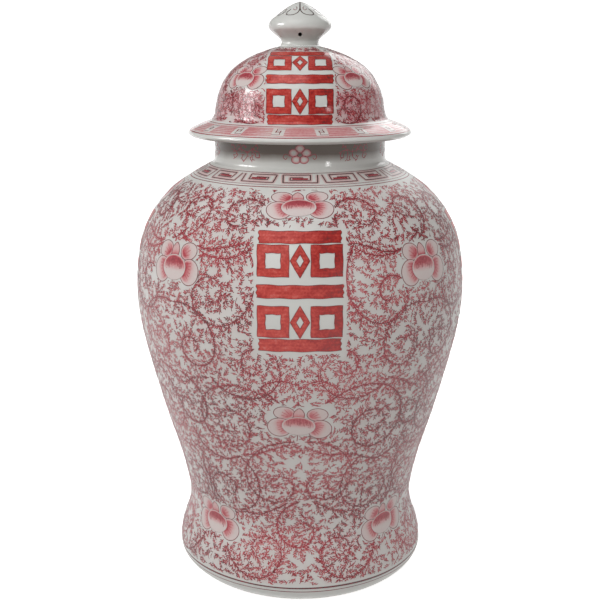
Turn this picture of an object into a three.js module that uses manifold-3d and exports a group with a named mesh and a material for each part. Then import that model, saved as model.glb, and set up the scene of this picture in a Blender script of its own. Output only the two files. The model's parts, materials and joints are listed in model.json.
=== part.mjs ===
// A lidded porcelain ginger jar, also called a temple jar, in millimetres with +Z up.
// The origin is on the floor under the middle of the foot, and the jar's front faces -Y.
//
// Two loose pieces stand in each other: the jar and its lid. Each was thrown in sections
// that were luted together with slip before glazing, and each section is a mesh here:
//   jar: lower_body, upper_body, neck
//   lid: lid_shell, lid_locating_ring, knob

import * as THREE from 'three';
import { mergeVertices } from 'three/addons/utils/BufferGeometryUtils.js';
import Module from 'manifold-3d';

// ---------------------------------------------------------------- driving dimensions

const FOOT_RADIUS = 91; // where the foot ring meets the floor
const FOOT_RING_WIDTH = 9;
const FOOT_RING_TAPER = 3; // the ring is this much wider at its root
const FOOT_RECESS = 9; // how far the base is turned out inside the foot ring
const BASE_THICKNESS = 13;
const WAIST_RADIUS = 103;
const BELLY_RADIUS = 145;
const BELLY_HEIGHT = 270;
const NECK_RADIUS = 74;
const BODY_WALL = 8;
const NECK_WALL = 7;

const BODY_SEAM_HEIGHT = 216; // lower and upper body are luted just below the belly's widest ring
const NECK_SEAM_HEIGHT = 374; // the neck stands on the shoulder here
const NECK_FOOT_HEIGHT = 380; // the neck is upright above this
const MOUTH_HEIGHT = 396.2;
const MOUTH_LIP_ROUND = 2;

const FLANGE_RADIUS = 96.6;
const LID_SEAT_RADIUS = 94; // outer edge of the lid's flat underside
const DOME_RADIUS = 73;
const LID_TOP_HEIGHT = 471.5;
const LID_TOP_RADIUS = 17;

const RING_OUTER_RADIUS = 64; // drops into the neck with 3 mm to spare all round
const RING_WALL = 6;
const RING_DEPTH = 18;
const RING_EDGE = 2; // chamfer on the ring's lower edge

const KNOB_RADIUS = 26.6;
const KNOB_STEM_RADIUS = 15.8;
const KNOB_WIDEST_HEIGHT = 489;
const TOTAL_HEIGHT = 508;
const VENT_RADIUS = 1.6;
const VENT_HEIGHT = 481;
const VENT_START = 6; // the vent runs outwards from here, inside the hollow

const GAP = 0.3; // left between neighbouring sections
const SIDES = 48; // flats round every turned section
const OUTSIDE_STEPS = 14; // rings of faces on a body section's outside
const INSIDE_STEPS = 8;
const NECK_STEPS = 5;
const VENT_SIDES = 12;

// ---------------------------------------------------------------- outlines
// Every outline is a list of [radius, height] stations with a smooth curve through them.
// Neighbouring stations are close where the outline bends and far apart where it runs straight.

const jarStations = [
  [FOOT_RADIUS, 0],
  [104.5, 8],
  [112.5, 19],
  [111, 36],
  [104.5, 56],
  [WAIST_RADIUS, 75],
  [110, 110],
  [122.5, 152],
  [135, 199],
  [143, 237],
  [BELLY_RADIUS, BELLY_HEIGHT],
  [141, 304],
  [131, 328.5],
  [115, 348.5],
  [97, 362],
  [83, 370],
  [76, 374.5],
  [NECK_RADIUS + 0.3, NECK_FOOT_HEIGHT],
  [NECK_RADIUS, MOUTH_HEIGHT],
];

const LID_SEAT_HEIGHT = MOUTH_HEIGHT + GAP;

const lidOuterStations = [
  [LID_SEAT_RADIUS, LID_SEAT_HEIGHT],
  [FLANGE_RADIUS, 399],
  [94.5, 402.2],
  [87.5, 405.8],
  [79.5, 408.8],
  [75, 412],
  [DOME_RADIUS, 418.5],
  [71.2, 428.5],
  [67.3, 439],
  [61, 448.8],
  [52, 456.8],
  [40, 463.6],
  [27, 468.5],
  [LID_TOP_RADIUS, LID_TOP_HEIGHT],
];

const lidInnerStations = [
  [0, 464.5],
  [20, 463.6],
  [36, 457.5],
  [49, 448],
  [58, 437],
  [63, 424],
  [63.5, 412],
  [59, 402],
  [RING_OUTER_RADIUS - RING_WALL, LID_SEAT_HEIGHT],
];

const KNOB_BASE_HEIGHT = LID_TOP_HEIGHT + GAP;

const knobOuterStations = [
  [KNOB_STEM_RADIUS + 1, KNOB_BASE_HEIGHT],
  [KNOB_STEM_RADIUS, 474.8],
  [17.4, 477.8],
  [22, 481.6],
  [26, 485.5],
  [KNOB_RADIUS, KNOB_WIDEST_HEIGHT],
  [24.6, 492.8],
  [20.4, 496.2],
  [15.8, 499.6],
  [11, 502.9],
  [5.8, 505.9],
  [0, TOTAL_HEIGHT],
];

const knobHollowStations = [
  [0, 478.5],
  [10, 479.8],
  [18, 484.5],
  [20.5, 488.5],
  [17.5, 492.5],
  [9, 498.8],
  [0, 502],
];

function smooth(stations) {
  return new THREE.SplineCurve(stations.map(([radius, height]) => new THREE.Vector2(radius, height)));
}

// Share of a curve's length at which it first reaches a height, for a curve that only climbs.
function shareAtHeight(curve, height) {
  let low = 0;
  let high = 1;
  for (let step = 0; step < 40; step += 1) {
    const middle = (low + high) / 2;
    if (curve.getPointAt(middle).y < height) low = middle;
    else high = middle;
  }
  return (low + high) / 2;
}

// A point on a curve, moved square to it into the wall.
function wallPoint(curve, share, inset) {
  const point = curve.getPointAt(share);
  const tangent = curve.getTangentAt(share);
  return new THREE.Vector2(point.x - tangent.y * inset, point.y + tangent.x * inset);
}

// Points along a curve between two shares of its length.
function stretch(curve, from, to, steps, inset = 0) {
  const points = [];
  for (let step = 0; step <= steps; step += 1) {
    points.push(wallPoint(curve, from + ((to - from) * step) / steps, inset));
  }
  return points;
}

// A whole outline with a number of points for each span between two stations.
function wholeOutline(stations, perSpan) {
  return smooth(stations).getPoints((stations.length - 1) * perSpan);
}

// ---------------------------------------------------------------- solids

// Twice the area that a closed profile encloses, positive when it runs anticlockwise.
function signedArea(points) {
  return points.reduce((sum, point, index) => {
    const next = points[(index + 1) % points.length];
    return sum + point.x * next.y - next.x * point.y;
  }, 0);
}

// Turns a profile round the Z axis. A profile that leaves the axis closes on itself.
function turn(points) {
  const profile = signedArea(points) < 0 ? [...points].reverse() : [...points];
  const first = profile[0];
  const last = profile[profile.length - 1];
  if (first.x > 0 || last.x > 0) profile.push(first.clone());
  const geometry = new THREE.LatheGeometry(profile, SIDES);
  geometry.rotateX(Math.PI / 2);
  return geometry;
}

const wasm = await Module();
wasm.setup();

function toSolid(geometry) {
  const bare = geometry.clone();
  bare.deleteAttribute('normal');
  bare.deleteAttribute('uv');
  const merged = mergeVertices(bare);
  return new wasm.Manifold(new wasm.Mesh({
    numProp: 3,
    vertProperties: new Float32Array(merged.attributes.position.array),
    triVerts: new Uint32Array(merged.index.array),
  }));
}

function toGeometry(solid) {
  const mesh = solid.getMesh();
  const geometry = new THREE.BufferGeometry();
  geometry.setAttribute('position', new THREE.BufferAttribute(mesh.vertProperties, 3));
  geometry.setIndex(new THREE.BufferAttribute(mesh.triVerts, 1));
  geometry.computeVertexNormals();
  return geometry;
}

// ---------------------------------------------------------------- the jar's sections

const jarCurve = smooth(jarStations);
const halfGapShare = GAP / 2 / jarCurve.getLength();
const bodySeam = shareAtHeight(jarCurve, BODY_SEAM_HEIGHT);
const neckSeam = shareAtHeight(jarCurve, NECK_SEAM_HEIGHT);

// Foot ring, turned base and the belly's lower half. The base is flat inside and out.
function lowerBody() {
  const floorHeight = FOOT_RECESS + BASE_THICKNESS;
  const ringInner = FOOT_RADIUS - FOOT_RING_WIDTH;
  const seam = bodySeam - halfGapShare;
  const floorShare = shareAtHeight(jarCurve, floorHeight + 2 * BODY_WALL);
  return turn([
    new THREE.Vector2(0, floorHeight),
    new THREE.Vector2(0, FOOT_RECESS),
    new THREE.Vector2(ringInner - FOOT_RING_TAPER, FOOT_RECESS),
    new THREE.Vector2(ringInner, 0),
    ...stretch(jarCurve, 0, seam, OUTSIDE_STEPS),
    ...stretch(jarCurve, seam, floorShare, INSIDE_STEPS, BODY_WALL),
    new THREE.Vector2(ringInner + FOOT_RING_TAPER, floorHeight),
  ]);
}

// The widest ring and the shoulder, up to where the neck stands on it.
function upperBody() {
  const from = bodySeam + halfGapShare;
  const to = neckSeam - halfGapShare;
  return turn([
    ...stretch(jarCurve, from, to, OUTSIDE_STEPS),
    ...stretch(jarCurve, to, from, INSIDE_STEPS, BODY_WALL),
  ]);
}

// A short upright neck whose rounded lip carries the lid.
function neck() {
  const from = neckSeam + halfGapShare;
  const lipShare = shareAtHeight(jarCurve, MOUTH_HEIGHT - MOUTH_LIP_ROUND);
  const neckInner = NECK_RADIUS - NECK_WALL;
  return turn([
    ...stretch(jarCurve, from, lipShare, NECK_STEPS),
    new THREE.Vector2(NECK_RADIUS - MOUTH_LIP_ROUND * 0.3, MOUTH_HEIGHT - MOUTH_LIP_ROUND * 0.3),
    new THREE.Vector2(NECK_RADIUS - MOUTH_LIP_ROUND, MOUTH_HEIGHT),
    new THREE.Vector2(neckInner + MOUTH_LIP_ROUND, MOUTH_HEIGHT),
    new THREE.Vector2(neckInner + MOUTH_LIP_ROUND * 0.3, MOUTH_HEIGHT - MOUTH_LIP_ROUND * 0.3),
    new THREE.Vector2(neckInner, MOUTH_HEIGHT - MOUTH_LIP_ROUND),
    new THREE.Vector2(neckInner, NECK_FOOT_HEIGHT),
    wallPoint(jarCurve, from, BODY_WALL),
  ]);
}

// ---------------------------------------------------------------- the lid's sections

// The dome with its flange. The flange's underside is the flat seat on the neck's lip.
function lidShell() {
  return turn([
    ...wholeOutline(lidOuterStations, 2),
    new THREE.Vector2(0, LID_TOP_HEIGHT),
    ...wholeOutline(lidInnerStations, 1),
  ]);
}

// The collar under the lid that drops inside the neck and keeps the lid from sliding off.
function lidLocatingRing() {
  const top = LID_SEAT_HEIGHT - GAP;
  const bottom = top - RING_DEPTH;
  const inner = RING_OUTER_RADIUS - RING_WALL;
  return turn([
    new THREE.Vector2(inner, top),
    new THREE.Vector2(inner, bottom + RING_EDGE),
    new THREE.Vector2(inner + RING_EDGE, bottom),
    new THREE.Vector2(RING_OUTER_RADIUS - RING_EDGE, bottom),
    new THREE.Vector2(RING_OUTER_RADIUS, bottom + RING_EDGE),
    new THREE.Vector2(RING_OUTER_RADIUS, top),
  ]);
}

// A hollow bud with a small vent that let its air out in the kiln.
function knob() {
  const outside = turn([
    new THREE.Vector2(0, KNOB_BASE_HEIGHT),
    ...wholeOutline(knobOuterStations, 1),
  ]);
  const hollow = turn(wholeOutline(knobHollowStations, 1));
  const vent = new THREE.CylinderGeometry(VENT_RADIUS, VENT_RADIUS, KNOB_RADIUS, VENT_SIDES);
  vent.translate(0, -VENT_START - KNOB_RADIUS / 2, VENT_HEIGHT);
  const solid = toSolid(outside).subtract(toSolid(hollow)).subtract(toSolid(vent));
  return toGeometry(solid);
}

// ---------------------------------------------------------------- the assembly

const decoratedGlaze = new THREE.MeshStandardMaterial({ color: 0xc9b3ae, roughness: 0.18, metalness: 0 });
const plainGlaze = new THREE.MeshStandardMaterial({ color: 0xc4c9c4, roughness: 0.15, metalness: 0 });
const bareClay = new THREE.MeshStandardMaterial({ color: 0xd8cdbd, roughness: 0.85, metalness: 0 });

function section(name, geometry, material) {
  const mesh = new THREE.Mesh(geometry, material);
  mesh.name = name;
  return mesh;
}

const jar = new THREE.Group();
jar.add(section('lower_body', lowerBody(), decoratedGlaze));
jar.add(section('upper_body', upperBody(), decoratedGlaze));
jar.add(section('neck', neck(), plainGlaze));

const lid = new THREE.Group();
lid.add(section('lid_shell', lidShell(), decoratedGlaze));
lid.add(section('lid_locating_ring', lidLocatingRing(), bareClay));
lid.add(section('knob', knob(), plainGlaze));

const gingerJar = new THREE.Group();
gingerJar.add(jar, lid);

export default gingerJar;
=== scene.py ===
"""Looks of a red-on-white porcelain ginger jar with its lid, for Blender 4.5.

The jar and lid are turned from the same outlines as the CAD model, then painted. Sizes are in
millimetres and become metres when a mesh is made. The jar's front faces -Y. A place on the jar
is an angle from the front, in degrees towards +X, and a length walked up its outline.
"""

import itertools
import json
import math

import bpy
import numpy as np
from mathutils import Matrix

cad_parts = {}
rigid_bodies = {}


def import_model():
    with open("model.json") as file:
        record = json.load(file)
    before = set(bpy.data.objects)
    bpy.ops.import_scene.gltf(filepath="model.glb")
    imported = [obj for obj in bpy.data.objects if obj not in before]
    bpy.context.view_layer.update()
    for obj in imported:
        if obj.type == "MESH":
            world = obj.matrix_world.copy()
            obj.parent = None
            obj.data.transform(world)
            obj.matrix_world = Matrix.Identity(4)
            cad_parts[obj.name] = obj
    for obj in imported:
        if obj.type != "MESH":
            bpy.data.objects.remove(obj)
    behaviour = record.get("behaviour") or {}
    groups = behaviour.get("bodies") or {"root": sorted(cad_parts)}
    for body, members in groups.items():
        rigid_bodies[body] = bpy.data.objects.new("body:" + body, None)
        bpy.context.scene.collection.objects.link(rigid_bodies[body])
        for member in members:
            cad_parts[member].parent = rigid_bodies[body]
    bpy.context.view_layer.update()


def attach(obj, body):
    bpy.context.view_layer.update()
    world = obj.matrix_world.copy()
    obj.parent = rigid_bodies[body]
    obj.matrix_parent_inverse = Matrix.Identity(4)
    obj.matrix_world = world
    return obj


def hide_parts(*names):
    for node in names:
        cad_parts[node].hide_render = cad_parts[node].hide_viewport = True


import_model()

MM = 0.001

# ---------------------------------------------------------------- sizes, as in the CAD model

FOOT_RADIUS = 91
FOOT_RING_WIDTH = 9
FOOT_RING_TAPER = 3
FOOT_RECESS = 9
BASE_THICKNESS = 13
BODY_WALL = 8
NECK_WALL = 7
NECK_RADIUS = 74
BODY_SEAM_HEIGHT = 216
NECK_SEAM_HEIGHT = 374
NECK_FOOT_HEIGHT = 380
MOUTH_HEIGHT = 396.2
LIP_ROUND = 2
LID_SEAT_HEIGHT = 396.5
LID_TOP_HEIGHT = 471.5
RING_OUTER_RADIUS = 64
RING_WALL = 6
RING_DEPTH = 18
RING_EDGE = 2
KNOB_BASE_HEIGHT = 471.8
VENT_RADIUS = 1.6
VENT_HEIGHT = 481

JAR_OUTLINE = [
    (FOOT_RADIUS, 0), (104.5, 8), (112.5, 19), (111, 36), (104.5, 56), (103, 75), (110, 110),
    (122.5, 152), (135, 199), (143, 237), (145, 270), (141, 304), (131, 328.5), (115, 348.5),
    (97, 362), (83, 370), (76, 374.5), (NECK_RADIUS + 0.3, NECK_FOOT_HEIGHT),
    (NECK_RADIUS, MOUTH_HEIGHT),
]
LID_OUTLINE = [
    (94, LID_SEAT_HEIGHT), (96.6, 399), (94.5, 402.2), (87.5, 405.8), (79.5, 408.8), (75, 412),
    (73, 418.5), (71.2, 428.5), (67.3, 439), (61, 448.8), (52, 456.8), (40, 463.6),
    (27, 468.5), (17, LID_TOP_HEIGHT),
]
LID_INSIDE = [
    (0, 464.5), (20, 463.6), (36, 457.5), (49, 448), (58, 437), (63, 424), (63.5, 412),
    (59, 402), (RING_OUTER_RADIUS - RING_WALL, LID_SEAT_HEIGHT),
]
KNOB_OUTLINE = [
    (16.8, KNOB_BASE_HEIGHT), (15.8, 474.8), (17.4, 477.8), (22, 481.6), (26, 485.5),
    (26.6, 489), (24.6, 492.8), (20.4, 496.2), (15.8, 499.6), (11, 502.9), (5.8, 505.9), (0, 508),
]
KNOB_HOLLOW = [(0, 478.5), (10, 479.8), (18, 484.5), (20.5, 488.5), (17.5, 492.5), (9, 498.8), (0, 502)]

BARE_SKIN = 0.08

BODY_SIDES = 360
LID_SIDES = 288
KNOB_SIDES = 128
STEPS_PER_SPAN = 12


# ---------------------------------------------------------------- outlines


def smooth(stations, per_span=STEPS_PER_SPAN):
    """Points on a Catmull-Rom curve through the stations, the same curve as the CAD model's."""
    knots = np.array([stations[0], *stations, stations[-1]], float)
    points = []
    for before, start, end, after in zip(knots, knots[1:], knots[2:], knots[3:]):
        for share in np.arange(per_span) / per_span:
            pull = (end - before) * 0.5
            push = (after - start) * 0.5
            cubic = (start - end) * 2 + pull + push
            square = (end - start) * 3 - pull * 2 - push
            points.append(((cubic * share + square) * share + pull) * share + start)
    points.append(knots[-1])
    return np.array(points)


class Skin:
    """The outside of a turned piece, by angle and by the length walked up its outline."""

    def __init__(self, stations):
        self.points = smooth(stations)
        steps = np.linalg.norm(np.diff(self.points, axis=0), axis=1)
        self.walked = np.concatenate([[0], np.cumsum(steps)])

    def along(self, height):
        return np.interp(height, self.points[:, 1], self.walked)

    def radius(self, along):
        return np.interp(along, self.walked, self.points[:, 0])

    def height(self, along):
        return np.interp(along, self.walked, self.points[:, 1])

    def facing(self, along):
        """Outward direction in the outline's plane, as (outwards, upwards)."""
        reach = 0.8
        along = np.clip(along, reach, self.walked[-1] - reach)
        out = self.radius(along + reach) - self.radius(along - reach)
        up = self.height(along + reach) - self.height(along - reach)
        length = np.hypot(out, up)
        return up / length, -out / length

    def place(self, angle, along, lift):
        """Points on the piece in millimetres and their directions, lifted off the surface."""
        out, up = self.facing(along)
        turn = np.radians(angle)
        radius = self.radius(along) + out * lift
        height = self.height(along) + up * lift
        spots = np.stack([radius * np.sin(turn), -radius * np.cos(turn), height], axis=-1)
        ways = np.stack([out * np.sin(turn), -out * np.cos(turn), up + 0 * turn], axis=-1)
        return thrown(spots), ways


def thrown(spots):
    """Moves points as a hand-thrown, kiln-fired pot does: slightly oval, with faint finger rings."""
    moved = np.array(spots, float)
    radius = np.hypot(moved[..., 0], moved[..., 1])
    turn = np.arctan2(moved[..., 0], -moved[..., 1])
    height = moved[..., 2]
    near_axis = np.clip(radius / 60, 0, 1)
    oval = 0.35 * np.sin(2 * turn + 0.7 + height * 0.006)
    rings = 0.09 * np.sin(height * 0.62 + turn) + 0.06 * np.sin(height * 0.27 - turn)
    scale = 1 + near_axis * (oval + rings) / np.maximum(radius, 1)
    moved[..., 0] *= scale
    moved[..., 1] *= scale
    return moved


jar_skin = Skin(JAR_OUTLINE)
lid_skin = Skin(LID_OUTLINE)
knob_skin = Skin(KNOB_OUTLINE)


# ---------------------------------------------------------------- meshes


def put(name, data):
    """A new object in the scene."""
    placed = bpy.data.objects.new(name, data)
    bpy.context.scene.collection.objects.link(placed)
    return placed


def show(name, mesh, material, body, slot, node=None):
    """Puts a finished mesh in the scene as a piece of the jar or lid."""
    piece = put(name, mesh)
    mesh.materials.append(material)
    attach(piece, body)
    if node:
        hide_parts(node)


def turned(profile, sides, closed=False):
    """Vertices and faces turned from (radius, height) points. A closed profile joins its ends."""
    turns = np.arange(sides) * 2 * math.pi / sides
    vertices = []
    rings = []
    for radius, height in np.array(profile, float):
        if radius < 1e-6:
            rings.append([len(vertices)] * sides)
            vertices.append((0, 0, height))
            continue
        rings.append(list(range(len(vertices), len(vertices) + sides)))
        vertices.extend((radius * math.sin(t), -radius * math.cos(t), height) for t in turns)
    if closed:
        rings.append(rings[0])
    faces = []
    for low, high in zip(rings, rings[1:]):
        for side in range(sides):
            after = (side + 1) % sides
            corners = [low[side], low[after], high[after], high[side]]
            faces.append(tuple(dict.fromkeys(corners)))
    return vertices, faces


def soften(mesh):
    mesh.shade_smooth()
    mesh.set_sharp_from_angle(angle=math.radians(50))


def lathe(name, profile, sides, closed=False):
    """A turned porcelain mesh, from a profile in millimetres."""
    vertices, faces = turned(profile, sides, closed)
    mesh = bpy.data.meshes.new(name)
    mesh.from_pydata((thrown(vertices) * MM).tolist(), [], faces)
    soften(mesh)
    mesh.validate()
    return mesh


def wall_inside(skin, start, end, thickness):
    """The inner side of a wall, from one length on the outline to another."""
    along = np.arange(start, end, math.copysign(4, end - start))
    along = np.append(along, end)
    out, up = skin.facing(along)
    return np.stack([skin.radius(along) - out * thickness, skin.height(along) - up * thickness], axis=-1)


def wall_outside(skin, start, end):
    """The outline's own points between two lengths, with both ends."""
    inner = [length for length in skin.walked if start + 0.2 < length < end - 0.2]
    along = np.array([start, *inner, end])
    return np.stack([skin.radius(along), skin.height(along)], axis=-1)


# ---------------------------------------------------------------- materials


def set_ramp(ramp, stops):
    elements = ramp.color_ramp.elements
    elements[0].position = stops[0][0]
    elements[-1].position = stops[-1][0]
    for position, _ in stops[1:-1]:
        elements.new(position)
    for element, (_, colour) in zip(elements, stops):
        element.color = (*colour, 1)


class Nodes:
    """A material or world being built. Its methods add nodes and give the socket that leaves them."""

    def __init__(self, made, shader="Principled BSDF"):
        self.made = made
        self.made.use_nodes = True
        self.tree = self.made.node_tree
        self.shader = self.tree.nodes[shader]
        self.coordinates = self.node("ShaderNodeTexCoord").outputs
        self.place = self.coordinates["Object"]

    def feed(self, target, inputs):
        """Sets a node's inputs, each to a value or to another node's socket."""
        for key, value in inputs.items():
            if isinstance(value, bpy.types.NodeSocket):
                self.tree.links.new(value, target.inputs[key])
            else:
                target.inputs[key].default_value = value

    def node(self, kind, inputs=None, **settings):
        added = self.tree.nodes.new(kind)
        for key, value in settings.items():
            setattr(added, key, value)
        self.feed(added, inputs or {})
        return added

    def noise(self, scale, detail=2.0):
        inputs = {"Vector": self.place, "Scale": scale, "Detail": detail}
        return self.node("ShaderNodeTexNoise", inputs).outputs["Fac"]

    def ramp(self, value, stops):
        tone = self.node("ShaderNodeValToRGB", {"Fac": value})
        set_ramp(tone, stops)
        return tone.outputs["Color"]

    def spread(self, value, low, high, start=0.0, end=1.0):
        """A value between start and end, brought to between low and high."""
        inputs = {"Value": value, "From Min": start, "From Max": end, "To Min": low, "To Max": high}
        return self.node("ShaderNodeMapRange", inputs).outputs["Result"]

    def product(self, first, second):
        return self.node("ShaderNodeMath", {0: first, 1: second}, operation="MULTIPLY").outputs[0]

    def mix(self, share, first, second):
        """One colour turned into another by a share. A colour mix uses inputs 0, 6, 7 and output 2."""
        return self.node("ShaderNodeMix", {0: share, 6: first, 7: second}, data_type="RGBA").outputs[2]

    def bump(self, height, strength, distance):
        inputs = {"Height": height, "Strength": strength, "Distance": distance}
        self.feed(self.shader, {"Normal": self.node("ShaderNodeBump", inputs).outputs["Normal"]})


# Paint density runs from a pale wash to a full brush, as (density, colour).
ROSE_RAMP = [
    (0.0, (0.62, 0.36, 0.36)),
    (0.3, (0.54, 0.12, 0.135)),
    (0.6, (0.40, 0.022, 0.042)),
    (0.8, (0.21, 0.018, 0.028)),
    (1.0, (0.06, 0.028, 0.026)),
]
VERMILION_RAMP = [
    (0.0, (0.62, 0.34, 0.26)),
    (0.3, (0.54, 0.07, 0.03)),
    (0.6, (0.49, 0.022, 0.008)),
    (0.8, (0.32, 0.008, 0.006)),
    (1.0, (0.12, 0.01, 0.01)),
]
HAZE_COLOUR = (0.51, 0.215, 0.235, 1)
SPECK_COLOUR = (0.21, 0.15, 0.11, 1)
# Painted shade: the shadow the lid's flange casts on the neck, as a brown darkening of the glaze between two
# heights in metres, with a ragged lower edge.
FLANGE_SHADE_COLOUR = (0.09, 0.055, 0.033, 1)
FLANGE_SHADE_FOOT = 0.3825
FLANGE_SHADE_TOP = 0.390
FLANGE_SHADE_RAGGED = 0.006
COVER_RAMP = [(0.0, (0, 0, 0)), (0.3, (0.62, 0.62, 0.62)), (0.6, (0.95, 0.95, 0.95)), (0.8, (1, 1, 1))]


def glaze_tone(on):
    """The glaze's own grey-white, clouded, with a few iron specks."""
    tone = on.ramp(on.noise(14.0, 4.0), [(0.3, (0.545, 0.555, 0.53)), (0.72, (0.62, 0.62, 0.60))])
    cells = on.node("ShaderNodeTexVoronoi", {"Vector": on.place, "Scale": 90.0})
    speck = on.ramp(cells.outputs["Distance"], [(0.028, (1, 1, 1)), (0.05, (0, 0, 0))])
    rare = on.ramp(on.noise(38.0), [(0.56, (0, 0, 0)), (0.62, (0.8, 0.8, 0.8))])
    return on.mix(on.product(speck, rare), tone, SPECK_COLOUR)


def fired(on, colour, dullness):
    """Finishes a material: slight ripples, and a gloss that is duller here and there."""
    rough = on.spread(on.noise(24.0, 5.0), dullness * 0.7, dullness * 1.3)
    on.feed(on.shader, {"Base Color": colour, "Roughness": rough, "IOR": 1.5})
    on.bump(on.noise(55.0, 3.0), 0.10, 0.0015)
    return on.made


def glaze(name, dullness):
    """Plain glaze. The wash attribute holds how pink the paint nearby has made it."""
    on = Nodes(bpy.data.materials.new(name))
    wash = on.node("ShaderNodeAttribute", attribute_name="wash").outputs["Fac"]
    strength = on.product(wash, on.spread(on.noise(160.0, 3.0), 0.3, 1.5))
    return fired(on, on.mix(strength, glaze_tone(on), HAZE_COLOUR), dullness)


def shaded_neck_glaze(name, dullness):
    """The neck's glaze with painted shade: a brown shadow under the lid's flange, fading out below it."""
    on = Nodes(bpy.data.materials.new(name))
    height = on.node("ShaderNodeSeparateXYZ", {"Vector": on.place}).outputs["Z"]
    inputs = {0: on.noise(30.0, 4.0), 1: FLANGE_SHADE_RAGGED, 2: height}
    ragged = on.node("ShaderNodeMath", inputs, operation="MULTIPLY_ADD").outputs[0]
    # How deep the painted shadow under the flange is, from nothing at the lower height to full at the upper.
    depth = on.spread(ragged, 0.0, 0.95, FLANGE_SHADE_FOOT, FLANGE_SHADE_TOP)
    return fired(on, on.mix(depth, glaze_tone(on), FLANGE_SHADE_COLOUR), dullness)


def bare_clay():
    on = Nodes(bpy.data.materials.new("bare_clay"))
    grain = on.noise(420.0, 6.0)
    tone = on.ramp(grain, [(0.35, (0.42, 0.32, 0.23)), (0.7, (0.56, 0.46, 0.36))])
    on.feed(on.shader, {"Base Color": tone, "Roughness": 0.8})
    on.bump(grain, 0.5, 0.0005)
    return on.made


def paint_material(name, dullness):
    """Colour brushed on the glaze. The pigment attribute holds its density and hue."""
    on = Nodes(bpy.data.materials.new(name))
    pigment = on.node("ShaderNodeAttribute", attribute_name="pigment").outputs["Color"]
    parts = on.node("ShaderNodeSeparateColor", {"Color": pigment}).outputs
    density = on.product(parts["Red"], on.spread(on.noise(520.0, 3.0), 0.66, 1.34))
    colour = on.mix(parts["Green"], on.ramp(density, ROSE_RAMP), on.ramp(density, VERMILION_RAMP))
    return fired(on, on.mix(on.ramp(density, COVER_RAMP), glaze_tone(on), colour), dullness)


BODY_DULLNESS = 0.36
LID_DULLNESS = 0.13
BODY_GLAZE = glaze("body_glaze", BODY_DULLNESS)
LID_GLAZE = glaze("lid_glaze", LID_DULLNESS)
NECK_GLAZE = shaded_neck_glaze("neck_glaze", LID_DULLNESS)
BARE_CLAY = bare_clay()
BODY_PAINT = paint_material("body_paint", BODY_DULLNESS)
LID_PAINT = paint_material("lid_paint", LID_DULLNESS)
LID_MATERIALS = (LID_GLAZE, NECK_GLAZE, LID_PAINT)


# ---------------------------------------------------------------- porcelain


def lower_body(name):
    seam = jar_skin.along(BODY_SEAM_HEIGHT)
    floor = FOOT_RECESS + BASE_THICKNESS
    ring_inner = FOOT_RADIUS - FOOT_RING_WIDTH
    inside = wall_inside(jar_skin, seam, jar_skin.along(floor + 2 * BODY_WALL), BODY_WALL)
    profile = [
        (0, FOOT_RECESS),
        (ring_inner - FOOT_RING_TAPER - 2, FOOT_RECESS),
        (ring_inner - FOOT_RING_TAPER, FOOT_RECESS - 1),
        (ring_inner - 0.6, 0.8),
        (ring_inner, 0),
        *wall_outside(jar_skin, 0, seam),
        *inside,
        (ring_inner + FOOT_RING_TAPER, floor),
        (0, floor),
    ]
    return lathe(name, profile, BODY_SIDES)


def upper_body(name):
    seam = jar_skin.along(BODY_SEAM_HEIGHT)
    top = jar_skin.along(NECK_SEAM_HEIGHT)
    profile = [*wall_outside(jar_skin, seam, top), *wall_inside(jar_skin, top, seam, BODY_WALL)]
    return lathe(name, profile, BODY_SIDES, closed=True)


def neck(name):
    foot = jar_skin.along(NECK_SEAM_HEIGHT)
    lip = jar_skin.along(MOUTH_HEIGHT - LIP_ROUND)
    inner = NECK_RADIUS - NECK_WALL
    bends = np.radians(np.arange(15, 90, 15))
    outer_round = [
        (NECK_RADIUS - LIP_ROUND * (1 - math.cos(b)), MOUTH_HEIGHT - LIP_ROUND * (1 - math.sin(b)))
        for b in bends
    ]
    inner_round = [
        (inner + LIP_ROUND * (1 - math.sin(b)), MOUTH_HEIGHT - LIP_ROUND * (1 - math.cos(b)))
        for b in bends
    ]
    profile = [
        *wall_outside(jar_skin, foot, lip),
        *outer_round,
        (NECK_RADIUS - LIP_ROUND, MOUTH_HEIGHT),
        (inner + LIP_ROUND, MOUTH_HEIGHT),
        *inner_round,
        (inner, MOUTH_HEIGHT - LIP_ROUND),
        (inner, NECK_FOOT_HEIGHT),
        *wall_inside(jar_skin, foot, foot + 0.01, BODY_WALL)[:1],
    ]
    return lathe(name, profile, BODY_SIDES, closed=True)


def lid_shell(name):
    profile = [*smooth(LID_OUTLINE), (0, LID_TOP_HEIGHT)]
    inside = smooth(LID_INSIDE)
    return lathe(name, [*inside, *profile], LID_SIDES)


def lid_locating_ring(name):
    top = LID_SEAT_HEIGHT
    bottom = MOUTH_HEIGHT - RING_DEPTH
    inner = RING_OUTER_RADIUS - RING_WALL
    profile = [
        (inner, top),
        (inner, bottom + RING_EDGE),
        (inner + RING_EDGE * 0.3, bottom + RING_EDGE * 0.3),
        (inner + RING_EDGE, bottom),
        (RING_OUTER_RADIUS - RING_EDGE, bottom),
        (RING_OUTER_RADIUS - RING_EDGE * 0.3, bottom + RING_EDGE * 0.3),
        (RING_OUTER_RADIUS, bottom + RING_EDGE),
        (RING_OUTER_RADIUS, top),
    ]
    return lathe(name, profile, LID_SIDES, closed=True)


def foot_ring(name):
    """The unglazed ring the jar stands on, scraped clean before firing."""
    inner = FOOT_RADIUS - FOOT_RING_WIDTH
    profile = [
        (inner - 0.5, 1.4), (inner - 0.3, 0.5), (inner, 0.02), (FOOT_RADIUS, 0.02),
        (FOOT_RADIUS + 1.4, 0.75), (FOOT_RADIUS + 0.6, 1.1), (inner + 0.6, 1.0),
    ]
    return lathe(name, profile, BODY_SIDES, closed=True)


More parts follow.
